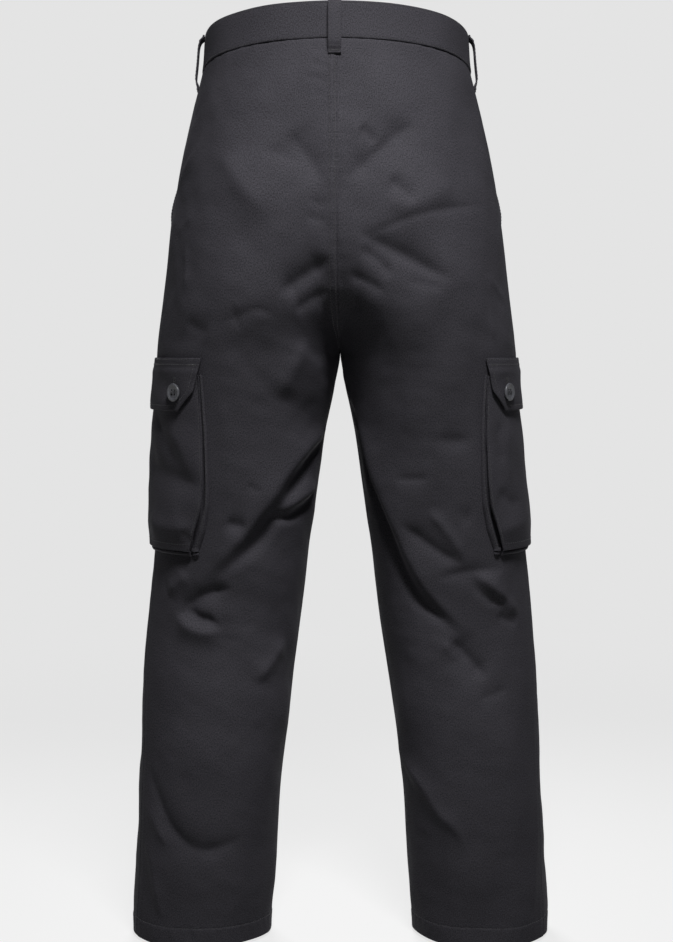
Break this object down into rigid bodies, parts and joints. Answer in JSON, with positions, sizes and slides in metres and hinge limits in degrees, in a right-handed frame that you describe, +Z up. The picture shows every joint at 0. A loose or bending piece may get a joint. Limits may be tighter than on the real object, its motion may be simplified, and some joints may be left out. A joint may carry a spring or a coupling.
{
  "type": "cargo trousers",
  "caption": "Men's regular-fit cargo trousers in charcoal cotton twill, filled out as worn, with bellows cargo pockets under buttoned flaps, slanted hip pockets, belt loops and open straight hems.",
  "frame": {"origin": "the middle of the waistband ring, level with the middle of the band, where a wearer's waist holds the trousers up", "axes": "+X to the wearer's left, +Y to the back, the front faces -Y, +Z up from the hems to the waist"},
  "size_m": [0.492, 0.2807, 1.0631],
  "materials": {
    "cotton twill": "matt brushed cotton, near black with a cool cast",
    "pocket twill": "matt cotton of the hip pocket facing",
    "zip tape": "woven black polyester tape",
    "blackened zinc": "dark plated zip slider, half gloss",
    "button resin": "dark grey resin, satin"
  },
  "bodies": {
    "root": {"back_panel_left": "cotton twill", "back_panel_right": "cotton twill", "front_panel_left": "cotton twill", "front_panel_right": "cotton twill", "hip_facing_left": "pocket twill", "hip_facing_right": "pocket twill", "waistband": "cotton twill", "fly_shield": "cotton twill", "fly_zip": "zip tape", "zip_slider": "blackened zinc", "waist_button": "button resin", "belt_loop_back": "cotton twill", "belt_loop_side_left": "cotton twill", "belt_loop_side_right": "cotton twill", "belt_loop_front_left": "cotton twill", "belt_loop_front_right": "cotton twill", "cargo_pocket_left": "cotton twill", "cargo_pocket_right": "cotton twill", "cargo_flap_left": "cotton twill", "cargo_flap_right": "cotton twill", "flap_button_left_back": "button resin", "flap_button_left_front": "button resin", "flap_button_right_back": "button resin", "flap_button_right_front": "button resin"}
  },
  "joints": []
}
